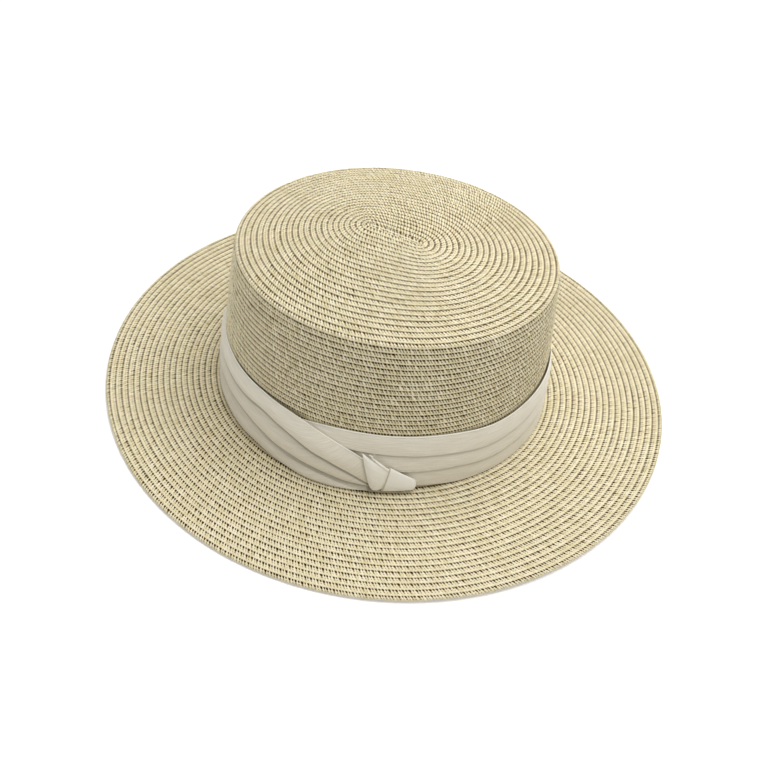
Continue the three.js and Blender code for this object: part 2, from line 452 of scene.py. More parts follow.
@dataclass
class StrawForm:
    """The straw body as ovals along a section line.

    The line runs from the middle of the tip over the tip's edge, down the crown, out
    along the brim, round its edge, back under it and up the inside to the middle. Each
    oval is a half width along Y and a stretch, which is how much longer its half length
    along X is.
    """

    brim_half: float
    brim_stretch: float
    crown_height: float
    crown_base_half: float = 87.0
    crown_base_stretch: float = 10.9
    crown_tip_half: float = 75.2
    crown_tip_stretch: float = 14.0
    crown_forward: float = 2.9
    wall_bulge: float = 0.9
    tip_dome: float = 9.0
    tip_edge_radius: float = 2.4
    straw: float = 2.0
    fold_radius: float = 0.8
    # The crochet starts round a short bar, which lies askew near the middle of the tip.
    bar_half_length: float = 14.3
    bar_half_width: float = 1.7
    bar_centre: tuple[float, float] = (-6.2, 1.9)
    bar_yaw: float = math.radians(-23.0)
    # How squarely the rings near the bar end, and the power by which their yaw fades.
    bar_sharpness: float = 3.2
    bar_yaw_power: float = 1.4
    # The brim lifts by up to this much on two sides, one of them at this angle, and by
    # this power of the way out along the brim.
    brim_lift: float = 1.6
    lift_turn: float = math.radians(150.0)
    lift_power: float = 1.6
    # The tip's rounded edge runs from this angle in degrees down to the level of the wall.
    tip_edge_angle: float = 76.0
    # How far the inner tip ends inside the outer one, and the inner wall under its top.
    inner_tip_inset: float = 1.0
    inner_wall_drop: float = 0.8
    # The section line ends this far from the middle, because a ring needs some width.
    least_half: float = 0.02
    # Places along each stage of the section line, and points round a ring to measure it.
    samples: int = 160
    ring_points: int = 1441
    marks: dict[str, float] = field(default_factory=dict)

    @classmethod
    def from_frame(cls) -> "StrawForm":
        """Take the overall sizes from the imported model's box."""
        low, high = (np.array(corner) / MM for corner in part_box("straw_body"))
        half = (high[1] - low[1]) / 2.0
        form = cls(half, (high[0] - low[0]) / 2.0 - half, high[2] - cls.tip_dome)
        form.trace()
        return form

    @property
    def tip_half(self) -> float:
        """Half width of the domed tip inside its rounded edge."""
        return self.crown_tip_half - self.tip_edge_radius

    @property
    def tip_wall(self) -> float:
        """Height where the crown's wall meets the tip's rounded edge."""
        return self.crown_height - self.tip_edge_radius

    def wall_half(self, height: np.ndarray | float) -> np.ndarray | float:
        """Return the half width of the crown's outer face at a height."""
        share = self.wall_share(height)
        bulge = 4.0 * share * (1.0 - share) * self.wall_bulge
        return mix(self.crown_base_half, self.crown_tip_half, share) + bulge

    def wall_share(self, height: np.ndarray | float) -> np.ndarray | float:
        """Return the share of the way up the crown's wall."""
        return np.clip((height - self.straw) / (self.tip_wall - self.straw), 0.0, 1.0)

    def brim_share(self, half: np.ndarray) -> np.ndarray:
        """Return the share of the way out along the brim."""
        width = self.brim_half - self.crown_base_half
        return np.clip((half - self.crown_base_half) / width, 0.0, 1.0)

    def on_crown(
        self, turn: np.ndarray, height: np.ndarray | float, offset: np.ndarray | float
    ) -> np.ndarray:
        """Return points on the crown's wall, moved outward by an offset."""
        half = self.wall_half(height) + offset
        share = self.wall_share(height)
        stretch = mix(self.crown_base_stretch, self.crown_tip_stretch, share)
        x = (half + stretch) * np.cos(turn) - self.crown_forward
        return np.stack(np.broadcast_arrays(x, half * np.sin(turn), height), axis=-1)

    def trace(self) -> None:
        """Work out the section line's table of ovals and the marks along it."""
        steps = np.linspace(0.0, 1.0, self.samples)
        tip_end = self.tip_half + self.tip_edge_radius * math.cos(math.radians(self.tip_edge_angle))
        rim = self.straw / 2.0
        fold_half = self.crown_base_half + self.fold_radius
        fold_height = self.straw + self.fold_radius
        inside = self.straw
        inner_tip = self.tip_half - self.inner_tip_inset
        heights = mix(self.tip_wall, fold_height, steps)
        inner_heights = mix(self.straw, self.tip_wall - self.inner_wall_drop, steps)

        def arc(
            half: float, height: float, radius: float, start: float, end: float
        ) -> tuple[np.ndarray, np.ndarray]:
            """Return half widths and heights along an arc, with angles in degrees."""
            angle = np.radians(mix(start, end, steps))
            return half + radius * np.cos(angle), height + radius * np.sin(angle)

        stages = (
            ("tip", mix(self.least_half, tip_end, steps), None),
            (
                "edge",
                *arc(self.tip_half, self.tip_wall, self.tip_edge_radius, self.tip_edge_angle, 0.0),
            ),
            ("wall", self.wall_half(heights), heights),
            ("fold", *arc(fold_half, fold_height, self.fold_radius, 180.0, 270.0)),
            ("brim", mix(fold_half, self.brim_half - rim, steps), 0.0 * steps + self.straw),
            ("rim", *arc(self.brim_half - rim, rim, rim, 90.0, -90.0)),
            ("underside", mix(self.brim_half - rim, self.crown_base_half, steps), 0.0 * steps),
            ("mouth", *arc(self.crown_base_half, inside, inside, 270.0, 180.0)),
            ("inside", self.wall_half(inner_heights) - inside, inner_heights),
            ("inner_tip", mix(inner_tip, self.least_half, steps), None),
        )
        ovals = []
        for name, halves, levels in stages:
            if levels is None:
                outer = name == "tip"
                share = halves / (self.tip_half if outer else inner_tip)
                drop = 0.0 if outer else self.straw
                levels = self.crown_height - drop + self.tip_dome * (1.0 - share**2)
            stretch = np.full_like(halves, self.crown_tip_stretch)
            forward = np.full_like(halves, self.crown_forward)
            if name in ("fold", "brim", "rim", "underside", "mouth"):
                share = self.brim_share(halves)
                stretch = mix(self.crown_base_stretch, self.brim_stretch, share)
                forward = self.crown_forward * (1.0 - share)
            elif name in ("wall", "inside"):
                share = self.wall_share(levels)
                stretch = mix(self.crown_base_stretch, self.crown_tip_stretch, share)
            ovals.append(np.stack([halves, levels, stretch, forward]))
        self._ovals = np.concatenate(ovals, axis=1)
        step = np.hypot(*np.diff(self._ovals[:2], axis=1))
        self._along = np.concatenate([[0.0], np.cumsum(step)])
        for number, (name, *_) in enumerate(stages):
            self.marks[name] = float(self._along[number * self.samples])
        self.marks["end"] = float(self._along[-1])

    def surface(self, along: np.ndarray, turn: np.ndarray) -> np.ndarray:
        """Return points of the body's smooth surface.

        Args:
            along: Distances along the section line, in millimetres.
            turn: Angles round the hat, in radians, of the same shape or broadcast to it.
        """
        along, turn = np.broadcast_arrays(along, turn)
        half, height, stretch, forward = (
            np.interp(along, self._along, line) for line in self._ovals
        )
        outer_tip = along < self.marks["edge"]
        inner_tip = along > self.marks["inner_tip"]
        on_tip = outer_tip | inner_tip
        edge_half = self.tip_half - np.where(inner_tip, self.inner_tip_inset, 0.0)
        roundness = np.where(on_tip, np.clip(half / edge_half, 0.0, 1.0), 1.0)
        skew = 1.0 - roundness
        cosine = np.cos(turn)
        bar_like = np.tanh(self.bar_sharpness * cosine) / math.tanh(self.bar_sharpness)
        reach = mix(stretch, self.bar_half_length, skew) * mix(cosine, bar_like, skew)
        x = half * cosine + reach
        y = half * np.sin(turn)
        yaw = self.bar_yaw * skew**self.bar_yaw_power
        centre_x = mix(-forward, self.bar_centre[0], skew)
        centre_y = mix(0.0, self.bar_centre[1], skew)
        x, y = x * np.cos(yaw) - y * np.sin(yaw), x * np.sin(yaw) + y * np.cos(yaw)
        x, y = x + centre_x, y + centre_y
        dome_x = (x + self.crown_forward) / (edge_half + self.crown_tip_stretch)
        dome = self.tip_dome * (1.0 - dome_x**2 - (y / edge_half) ** 2)
        level = self.crown_height - np.where(inner_tip, self.straw, 0.0)
        z = np.where(on_tip, level + dome, height)
        return np.stack([x, y, z + self.lift(half, turn, on_tip)], axis=-1)

    def lift(self, half: np.ndarray, turn: np.ndarray, on_tip: np.ndarray) -> np.ndarray:
        """Return how far the brim's gentle wave lifts each point."""
        share = self.brim_share(half)
        wave = 0.5 + 0.5 * np.cos(2.0 * (turn - self.lift_turn))
        return np.where(on_tip, 0.0, self.brim_lift * wave * share**self.lift_power)

    def normals(self, along: np.ndarray, turn: np.ndarray) -> np.ndarray:
        """Return unit normals that point away from the straw."""
        step, swing = 0.4, 0.004
        run = self.surface(along + step, turn) - self.surface(along - step, turn)
        round_ = self.surface(along, turn + swing) - self.surface(along, turn - swing)
        normal = np.cross(run, round_)
        return normal / np.linalg.norm(normal, axis=-1, keepdims=True)

    def even_turns(self, along: float) -> tuple[np.ndarray, np.ndarray, float]:
        """Return shares of the way round the oval at a place, their angles and its length."""
        turn = np.linspace(0.0, FULL_TURN, self.ring_points)
        ring = self.surface(np.full_like(turn, along), turn)
        length = np.concatenate([[0.0], np.cumsum(np.linalg.norm(np.diff(ring, axis=0), axis=1))])
        return length / length[-1], turn, float(length[-1])


@dataclass(frozen=True)
class Stitch:
    """One kind of crochet stitch: two slanted strands to each stitch, in rows.

    Depths are in millimetres below the crest of a strand.
    """

    length: float = 3.4
    crest: float = 0.25
    groove: float = 0.3
    # The outer edge of a row hangs over the start of the next one, so that the pits there
    # show from outside the ring and hide from inside it.
    lip: float = 0.4
    overhang: float = 0.42
    stitch_gap: float = 0.38
    half_gap: float = 0.28
    pit: float = 1.3
    half_pit: float = 0.75
    # Half widths of the pits and the gaps, in stitches.
    pit_width: float = 0.16
    half_pit_width: float = 0.12
    gap_width: float = 0.16
    half_gap_width: float = 0.13
    middle_pit: float = 0.3
    # Shares of the way across a row: where the rise out of the groove ends, where the
    # fall over the lip starts, and how far the pits and the middle pits reach.
    rise_end: float = 0.42
    fall_start: float = 0.8
    pit_reach: float = 0.3
    middle_reach: float = 0.16
    # How unequal the pits' depths are, and between which shares of the usual depth.
    pit_uneven: float = 0.13
    pit_range: tuple[float, float] = (0.6, 1.4)
    # How unequal the strands' shades are, and how much paler each strand is painted along its back, as
    # a highlight where the light falls on it.
    tone_uneven: float = 0.14
    painted_crest_highlight: float = 0.3
    # How large the pits' spots of painted shade are drawn, next to the sizes in the material.
    pit_size: float = 1.16
    # No pit goes through the wall, which is 2 mm thick.
    deepest: float = 1.25
    # How far a strand leans along the row from one side of it to the other, and how far
    # each row stands on from the row before it, in stitches.
    slant: float = 0.5
    advance: float = 0.3
    roundness: float = 3.0
    uneven: float = 0.06
    # How far stitches stray from their places along the row, in stitches.
    jitter: float = 0.05
    strand_columns: int = 4
    lines: tuple[float, ...] = (0.0, 0.13, 0.3, 0.52, 0.84, 1.0)


@dataclass(frozen=True)
class Row:
    """A row of crochet: where it starts and ends along the section line."""

    start: float
    end: float


@dataclass
class CrochetPiece:
    """A stretch of neighbouring rows that is built as one mesh."""

    name: str
    form: StrawForm
    rows: list[Row]
    stitch: Stitch
    seed: int
    first_number: int = 0
    # How much of the light is lost at the first row's start, as a depth in millimetres.
    first_shade: float = 0.0
    # Neighbouring rows dip into the same groove and overlap there by this much.
    overlap: float = 0.12
    # How much further each row's first line runs on, so that no gap shows under the lip.
    reach: float = 0.7
    least_stitches: int = 6
    # How far the stitches drift along a row and how far a row starts from its place, in
    # stitches, and how far a row wanders to the side, in millimetres.
    drift: float = 0.15
    start_play: float = 0.1
    wander: float = 0.07

    def relief(
        self, lines: np.ndarray, count: int, rng: np.random.Generator
    ) -> tuple[np.ndarray, np.ndarray, np.ndarray, np.ndarray]:
        """Return a row's height, depth below the crest and tone, and its pits' sizes by column.

        Args:
            lines: Shares of the way across the row.
            count: Number of stitches in the row.
            rng: The seeded source of unevenness.
        """
        kind = self.stitch
        per_stitch = 2 * kind.strand_columns
        column = np.arange(count * per_stitch + 1)
        place = (column % kind.strand_columns) / kind.strand_columns
        strand = (column // kind.strand_columns) % (2 * count)
        nearest = np.rint(column / kind.strand_columns).astype(int) % (2 * count)
        body = np.sin(math.pi * place) ** 2
        in_stitch = (column % per_stitch) / per_stitch
        from_start = np.minimum(in_stitch, 1.0 - in_stitch)
        from_half = np.abs(in_stitch - 0.5)
        across = lines[:, None]
        arch = 1.0 - np.abs(2.0 * across - 1.0) ** kind.roundness
        rise = 1.0 - ease(across, 0.0, kind.rise_end)
        fall = ease(across, kind.fall_start, 1.0)
        inner = bell(across, kind.pit_reach)
        middle = bell(across - 0.5, kind.middle_reach)
        fat = rng.normal(0.0, kind.uneven, 2 * count)[strand]
        deep = np.clip(rng.normal(1.0, kind.pit_uneven, 2 * count), *kind.pit_range)
        pits = deep[nearest] * (
            kind.pit * bell(from_start, kind.pit_width)
            + kind.half_pit * bell(from_half, kind.half_pit_width)
        )
        gaps = kind.stitch_gap * bell(from_start, kind.gap_width)
        gaps = gaps + kind.half_gap * bell(from_half, kind.half_gap_width)
        depth = (
            kind.groove * rise
            + kind.lip * fall
            + gaps * (0.3 + 0.7 * arch)
            + pits * inner
            + kind.middle_pit * (1.0 - body) * middle
        )
        depth = np.minimum(depth, kind.deepest)
        height = kind.crest + fat * arch - depth
        shade = 0.5 + kind.tone_uneven * rng.normal(0.0, 1.0, 2 * count)[strand]
        # Each strand is painted paler along its back, as a highlight.
        tone = shade + kind.painted_crest_highlight * (body - 0.5) * arch
        size = kind.pit_size * (0.3 + 0.7 * deep)
        size[1::2] *= math.sqrt(kind.half_pit / kind.pit)
        return height, depth, np.broadcast_to(tone, height.shape), size[nearest]

    def add_row(self, parts: MeshParts, row: Row, rng: np.random.Generator, number: int) -> int:
        """Add one row to the mesh and return its number of stitches."""
        kind = self.stitch
        middle = (row.start + row.end) / 2.0
        shares, turns, length = self.form.even_turns(middle)
        count = max(self.least_stitches, round(length / kind.length))
        columns = count * 2 * kind.strand_columns
        lines = np.array(kind.lines)
        height, depth, tone, size = self.relief(lines, count, rng)
        # The first row's start gets extra depth in its colour only, so that it is painted darker as
        # shade.
        if number == self.first_number:
            depth = depth + self.first_shade * (1.0 - lines[:, None])
        back = float(np.interp(math.radians(90.0), turns, shares))
        column = np.arange(columns + 1)
        base = column / columns
        drift = ripple(rng, FULL_TURN * base, range(2, 7)) * self.drift
        drift = drift + rng.uniform(-self.start_play, self.start_play)
        stray = rng.normal(0.0, kind.jitter, 2 * count)
        strand_place = column / kind.strand_columns
        drift = drift + np.interp(strand_place, np.arange(2 * count), stray, period=2 * count)
        lean = kind.slant * (lines[:, None] - 0.5) + kind.advance * number
        share = (base + back + (drift + lean) / count) % 1.0
        turn = np.interp(share, shares, turns)
        wobble = ripple(rng, FULL_TURN * base, range(5, 14)) * self.wander
        spread = row.end - row.start
        across = -self.overlap + lines[:, None] * (spread + self.overlap + kind.overhang)
        across[0] -= self.reach
        along = np.maximum(row.start + across + wobble, -0.1)
        points = self.form.surface(along, turn)
        points = points + self.form.normals(along, turn) * height[..., None]
        # The third coordinate gives each row creases of its own.
        yarn = (base * length, lines[:, None] * spread, float(rng.integers(99)))
        yarn = np.stack(np.broadcast_arrays(*yarn), axis=-1)
        pits = (strand_place, across - kind.overhang, size)
        pits = np.stack(np.broadcast_arrays(*pits), axis=-1)
        attributes = {"depth": depth, "tone": tone, "yarn": yarn, "pits": pits}
        parts.add_grid(points, False, attributes)
        return count

    def build(self) -> bpy.types.Object:
        """Build the rows as one mesh."""
        rng = np.random.default_rng(self.seed)
        parts = MeshParts()
        stitches = sum(
            self.add_row(parts, row, rng, self.first_number + number)
            for number, row in enumerate(self.rows)
        )
        piece = parts.build(self.name)
        counts = (len(self.rows), stitches, 2 * len(piece.data.polygons))
        LOG.info("%s: %d rows, %d stitches, %d triangles", self.name, *counts)
        return piece


def split_rows(start: float, end: float, first_pitch: float, last_pitch: float) -> list[Row]:
    """Divide a stretch of the section line into rows.

    Args:
        start: Where the first row starts.
        end: Where the last row ends.
        first_pitch: Width of a row at the start.
        last_pitch: Width of a row at the end.

    Returns:
        Rows that fill the stretch exactly, their width running from one to the other.
    """
    count = round((end - start) / ((first_pitch + last_pitch) / 2.0))
    widths = np.linspace(first_pitch, last_pitch, count)
    edges = start + np.concatenate([[0.0], np.cumsum(widths)]) * (end - start) / widths.sum()
    return [Row(float(low), float(high)) for low, high in zip(edges[:-1], edges[1:])]


@dataclass
class StrawBody:
    """The crocheted body: tip, crown wall, brim and their inner faces."""

    form: StrawForm
    material: bpy.types.Material
    tip_pitch: tuple[float, float] = (3.1, 3.5)
    wall_pitch: tuple[float, float] = (3.4, 3.5)
    brim_pitch: tuple[float, float] = (3.6, 3.6)
    shown_wall_rows: int = 17
    tip_stitch: Stitch = Stitch(
        pit_size=1.12,
        groove=0.6,
        lip=0.55,
        overhang=0.25,
        stitch_gap=0.35,
        half_pit=1.0,
        middle_pit=0.4,
        roundness=3.6,
        strand_columns=3,
    )
    wall_stitch: Stitch = Stitch(
        groove=0.35,
        lip=0.35,
        overhang=0.2,
        pit_size=1.15,
        stitch_gap=0.55,
        half_gap=0.45,
        pit=1.2,
        half_pit=1.0,
        slant=0.6,
        advance=0.43,
        uneven=0.08,
        jitter=0.1,
    )
    brim_stitch: Stitch = Stitch()
    back_stitch: Stitch = Stitch(
        crest=-0.06,
        uneven=0.03,
        lip=0.3,
        overhang=0.12,
        stitch_gap=0.2,
        half_gap=0.12,
        pit=0.2,
        half_pit=0.1,
        strand_columns=2,
        lines=(0.0, 0.5, 1.0),
    )
    covered_stitch: Stitch = Stitch(
        crest=-0.06,
        uneven=0.03,
        groove=0.5,
        stitch_gap=0.1,
        half_gap=0.0,
        pit=0.2,
        half_pit=0.1,
        strand_columns=1,
        lines=(0.0, 0.5, 1.0),
    )
    bar_stitch: Stitch = Stitch(
        crest=0.1,
        groove=0.4,
        stitch_gap=0.15,
        half_gap=0.1,
        pit=0.1,
        half_pit=0.05,
        lines=(0.0, 0.4, 0.8, 1.0),
    )

    def pieces(self) -> list[CrochetPiece]:
        """Plan the rows of each piece of the body, with seeds of their own."""
        form, mark = self.form, self.form.marks
        bar_end = form.bar_half_width
        # The tip's rows end on its rounded edge, and the wall's in the fold of the brim.
        tip_end = mark["edge"] + 2.0
        brim_start = mark["fold"] + 0.6
        rim_middle = (mark["rim"] + mark["underside"]) / 2.0
        tip = split_rows(bar_end, tip_end, *self.tip_pitch)
        wall = split_rows(tip_end, brim_start, *self.wall_pitch)
        brim = split_rows(brim_start, rim_middle, *self.brim_pitch)
        mouth = mark["mouth"] + 2.0
        under = split_rows(rim_middle, mouth, *reversed(self.brim_pitch))
        inside = split_rows(mouth, mark["inner_tip"], *reversed(self.wall_pitch))
        inner_tip = split_rows(mark["inner_tip"], mark["end"] - bar_end, *reversed(self.tip_pitch))
        third = math.ceil(len(brim) / 3)
        far = 2 * third + 1
        shown = self.shown_wall_rows
        upper = shown // 2
        # The bars' rows end just short of the middle.
        outer_bar = [Row(0.05, bar_end)]
        inner_bar = [Row(mark["end"] - bar_end, mark["end"] - 0.05)]
        plans = (
            ("straw_tip_start_bar", outer_bar, self.bar_stitch, 11),
            ("straw_tip", tip, self.tip_stitch, 12),
            ("straw_crown_upper", wall[:upper], self.wall_stitch, 13),
            ("straw_crown_lower", wall[upper:shown], self.wall_stitch, 22, upper),
            ("straw_crown_foot", wall[shown:], self.covered_stitch, 14),
            ("straw_brim_inner", brim[: third + 1], self.brim_stitch, 15),
            ("straw_brim_middle", brim[third + 1 : far], self.brim_stitch, 16, third + 1),
            ("straw_brim_outer", brim[far:], self.brim_stitch, 17, far),
            ("straw_brim_underside", under, self.back_stitch, 18, 0, 1.4),
            ("straw_crown_inside", inside, self.back_stitch, 19),
            ("straw_tip_inside", inner_tip, self.back_stitch, 20),
            ("straw_tip_inside_bar", inner_bar, self.bar_stitch, 21),
        )
        return [CrochetPiece(name, form, *plan) for name, *plan in plans]

    def build(self) -> list[bpy.types.Object]:
        made = []
        for plan in self.pieces():
            piece = plan.build()
            piece.data.materials.append(self.material)
            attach(piece, BODY)
            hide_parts("straw_body")
            made.append(piece)
        return made


@dataclass
class Ribbon:
    """The pleated strip of cloth, its knot and its tail.

    Places along the strip are degrees round the crown, from its hidden start at -122 on,
    so the layer that lies on top near the knot has places over 180. Heights are
    millimetres above the surface that the hat rests on.
    """

    form: StrawForm
    material: bpy.types.Material
    start: float = -122.0
    end: float = 268.6
    thick: float = 1.15
    pleat_rise: float = 0.9
    lean_from: float = 244.0
    lean: float = 1.6
    lip: float = 0.34
    step_degrees: float = 0.8
    # What the knot and the tail stand on: the strip's lower layer.
    pad_base: float = 2.3
    top_edge: Knots = (
        (-122, 37.5), (-114, 39.6), (-107, 41.4), (-98, 42.2), (-90, 42.2), (-62, 41.2),
        (-50, 39.6), (-34, 40.4), (0, 41.6), (90, 43.0), (180, 43.4), (222, 43.2), (238, 42.4),
        (246, 40.6), (256, 35.4), (263.7, 29.8), (268.6, 26.0),
    )
    high_fold: Knots = (
        (-122, 29.9), (-90, 29.6), (-77, 28.7), (-64, 27.4), (-54, 25.4), (-30, 26.5), (0, 29.0),
        (90, 30.0), (180, 31.0), (223, 31.6), (231, 32.0), (238, 29.4), (245, 25.9), (250, 22.8),
        (255, 20.3), (259, 17.4), (263, 14.1), (266, 10.8), (268.6, 8.5),
    )
    low_fold: Knots = (
        (-122, 15.5), (-80, 16.4), (-70, 16.4), (-60, 15.7), (-53, 14.2), (-30, 14.4), (0, 15.5),
        (90, 16.0), (180, 17.0), (224, 17.3), (232, 15.0), (239, 12.8), (245, 11.6), (251, 10.6),
        (256, 9.0), (260, 7.4), (264, 6.6), (268.6, 6.2),
    )
    bottom_edge: Knots = (
        (-122, 3.6), (-90, 5.0), (-75, 4.9), (-69, 4.3), (-62, 3.1), (-52, 2.6), (0, 2.7),
        (180, 2.7), (230, 2.7), (250, 2.7), (258, 2.8), (263, 3.2), (268.6, 4.4),
    )
    fold_depth: Knots = (
        (-122, 1.0), (-88, 1.0), (-74, 0.95), (-60, 0.7), (-48, 0.55), (-20, 0.6), (0, 0.7),
        (60, 0.6), (120, 0.8), (180, 0.9), (205, 1.1), (230, 1.4), (255, 1.6), (268.6, 1.2),
    )
    # How far each tier swells between its folds.
    puff: Knots = (
        (-122, 0.35), (-60, 0.4), (0, 0.5), (120, 0.6), (190, 1.2), (225, 2.3), (255, 2.4),
        (268.6, 0.9),
    )
    # How dark the painted shade is in the crease under each fold.
    crease: Knots = (
        (-122, 0.4), (-80, 0.28), (-55, 0.2), (0, 0.25), (150, 0.3), (205, 0.3), (230, 0.4),
        (268.6, 0.5),
    )
    # How far the strip stands off the straw.
    gap: Knots = (
        (-122, 0.15), (-66, 0.2), (-52, 0.42), (-38, 0.55), (-18, 0.5), (6, 0.35), (90, 0.3),
        (204, 0.15), (214, 0.36), (240, 0.4), (248, 0.15), (268.6, 0.2),
    )
    # The cloth's raw edge above the knot, and the two ends of a frayed thread: degrees
    # round the crown, height, offset from the straw and radius.
    raw_edge: tuple[tuple[float, float, float, float], ...] = (
        (-91.0, 28.7, 4.0, 0.3), (-90.1, 27.4, 4.2, 0.42), (-89.0, 25.9, 4.4, 0.5),
        (-87.6, 23.9, 4.6, 0.6), (-86.4, 21.9, 4.6, 0.6), (-85.4, 20.6, 4.3, 0.5),
        (-84.9, 20.2, 3.9, 0.4),
    )
    frayed_ends: tuple[tuple[tuple[float, float, float, float], ...], ...] = (
        ((-90.6, 28.0, 4.2, 0.34), (-90.8, 29.6, 4.4, 0.32), (-90.1, 31.6, 4.2, 0.24)),
        ((-90.8, 29.4, 4.2, 0.3), (-91.2, 30.1, 4.3, 0.28), (-91.8, 30.5, 4.2, 0.2)),
    )

    # The strip's hidden start has this share of its thickness, and gains the rest over so
    # many degrees. The end climbs onto it over fewer, with a little air between the two.
    start_share: float = 0.3
    start_run: float = 14.0
    climb_run: float = 12.0
    layer_gap: float = 0.2
    # The knot, from the gathered end to the tail: degrees round the crown, heights of its
    # top, height of its foot, how far it stands out, and how much more so at the foot.
    knot_place: tuple[float, float] = (-92.3, -85.5)
    knot_top: tuple[float, float] = (30.0, 19.6)
    knot_foot: float = 5.3
    knot_depth: float = 4.9
    knot_slope: float = 0.22
    # How far the knot's middle bows back, in degrees, and up, in millimetres.
    knot_bow: tuple[float, float] = (0.35, 0.4)
    # The tail in the same way, from the knot to its blunt end.
    tail_place: tuple[float, float] = (-86.0, -75.9)
    tail_top: tuple[float, float] = (21.6, 11.2)
    tail_foot: tuple[float, float] = (4.6, 5.6)
    tail_depth: tuple[float, float] = (3.9, 3.2)
    tail_slope: float = 0.3
    # Degrees that the tops lean over where the knot and the tail meet.
    tail_lean: float = -0.95
    # Rings along the knot and the tail, and points in a ring of them and of a thread.
    loft_rings: int = 33
    pad_points: int = 40
    thread_points: int = 10

    def layer(self, place: float) -> float:
        """Return the share of its full thickness that the strip has: its hidden start is thin."""
        grown = ease(place, self.start, self.start + self.start_run)
        return float(mix(self.start_share, 1.0, grown))

    def stand_off(self, place: float) -> float:
        """Return how far the strip's inner face is from the straw."""
        below = place - 360.0
        lower = self.layer(below) * (self.thick + self.pleat_rise) + self.layer_gap
        climbed = ease(below, self.start - self.climb_run, self.start)
        return float(smooth_curve(self.gap, place) + lower * climbed)

    def band_section(self, place: float, waves: "ClothWaves") -> tuple[np.ndarray, ...]:
        """Return one closed cross-section of the strip.

        Args:
            place: Where along the strip, in degrees.
            waves: The cloth's small seeded waves.

        Returns:
            The section's points in millimetres, the distance along the section and how much each point
            is painted paler, as a highlight on an edge (up to 1), or darker, as shade in a crease (down
            to -1).
        """
        edges = (self.bottom_edge, self.low_fold, self.high_fold, self.top_edge)
        edges = [float(smooth_curve(edge, place)) for edge in edges]
        bottom, top = edges[0], edges[-1]
        depth = float(smooth_curve(self.fold_depth, place))
        swell = float(smooth_curve(self.puff, place))
        slack = float(np.clip((place - self.lean_from) / (self.end - self.lean_from), 0.0, 1.0))
        crease = float(smooth_curve(self.crease, place))
        dark = (0.7 * crease, crease, 0.0)
        layer = self.layer(place)
        # Towards the knot the lowest tier splays out, so that it shows brighter.
        splay = float(ease(place, 228.0, 250.0))
        rises = (1.0 + 1.1 * splay, 1.0 - 0.35 * splay, 1.0)
        stand = [layer * (self.thick + self.pleat_rise * depth * rise) for rise in rises]
        # Above its fold each tier thins out to this share of the cloth's full thickness.
        thin = layer * self.thick * 0.6
        # Each point is a height, a distance from the strip's inner face and how much it is painted:
        # darker as shade below 0, paler as a highlight above 0.
        section: list[tuple[float, float, float]] = []
        # The inner face runs down, and the lower edge turns out from it.
        for share in (0.04, 0.5, 0.96):
            section.append((mix(top, bottom, share), 0.0, 0.0))
        section.append((bottom + 0.2, 0.2, 0.0))
        section.append((bottom, 0.5 * stand[0], 0.0))
        for number, (low, high) in enumerate(zip(edges[:-1], edges[1:])):
            proud = stand[number]
            # A fold hides a crease behind its lip, up under the tier above, and the crease is painted
            # dark as shade.
            if number > 0:
                section.append((low + self.lip + 0.4, thin - 0.3, -1.0))
                section.append((low + self.lip, thin - 0.15, -1.0))
                section.append((low + 0.06, mix(thin, proud, 0.45), -0.7))
            section.append((low, proud - 0.22, 0.0))
            # The lip is painted a little paler, as a highlight.
            section.append((low + self.lip, proud, 0.3))
            upper = thin - 0.1 if number < 2 else thin
            span = high - low - self.lip
            # A narrow tier swells less.
            bulge = min(swell, 0.2 * span)
            # The rings stand closer near the next lip, where the crease's shade starts.
            near_lip = [1.0 - drop / max(span, 3.0) for drop in (2.6, 2.1, 1.7, 0.9, 0.2)]
            below = [near_lip[0] * part for part in (0.08, 0.2, 0.35, 0.5, 0.66, 0.84)]
            for share in below + near_lip:
                rise = bulge * math.sin(math.pi * share) ** 0.8
                wave = waves.at(place, mix(low, high, share)) * math.sin(math.pi * share) ** 0.5
                shade = -dark[number] * float(ease(share * span, span - 2.2, span - 1.6))
                section.append(
                    (
                        low + self.lip + span * share * 0.98,
                        mix(proud, upper, share**1.2) + rise + wave,
                        shade,
                    )
                )
        # The top edge is a hem, painted pale as a highlight where it catches the light: how far below
        # the top, how far out and how pale.
        hem = ((0.62, 0.12, 0.3), (0.38, 0.26, 0.9), (0.12, 0.2, 1.0), (0.0, -0.05, 0.9))
        section.extend((top - drop, thin + out, shade) for drop, out, shade in hem)
        # Where the strip stands off the straw, the light gets lost behind it.
        behind = -float(ease(smooth_curve(self.gap, place), 0.2, 0.34))
        section.append((top - 0.02, 0.65 * thin, behind))
        section.append((top - 0.1, 0.1, behind))
        height, offset, fold = np.array(section).T
        # The end of the strip lies in the shade of the knot.
        fold = fold - 0.4 * ease(place, 266.9, 267.5)
        spread = (height - bottom) / max(top - bottom, 1.0)
        turn = np.radians(place + slack * self.lean * (1.0 - 2.0 * spread))
        points = self.form.on_crown(turn, height, self.stand_off(place) + offset)
        length = np.concatenate([[0.0], np.cumsum(np.hypot(np.diff(height), np.diff(offset)))])
        return points, length, fold

    def build_band(self) -> bpy.types.Object:
        """Build the pleated strip round the crown."""
        waves = ClothWaves(seed=31)
        steps = round((self.end - self.start) / self.step_degrees)
        sections, cloth, folds = [], [], []
        radius = self.form.crown_base_half + self.form.crown_base_stretch / 2.0
        for place in np.linspace(self.start, self.end, steps + 1):
            points, length, fold = self.band_section(float(place), waves)
            sections.append(points)
            folds.append(fold)
            along = math.radians(place) * radius
            cloth.append(np.stack([np.full_like(length, along), length, 0.0 * length], axis=-1))
        grid = np.stack(sections)
        parts = MeshParts()
        parts.add_grid(grid, True, {"fold": np.stack(folds), "cloth": np.stack(cloth)})
        self.close_end(parts, grid[0], False)
        self.close_end(parts, grid[-1], True)
        return parts.build("ribbon_pleated_band")

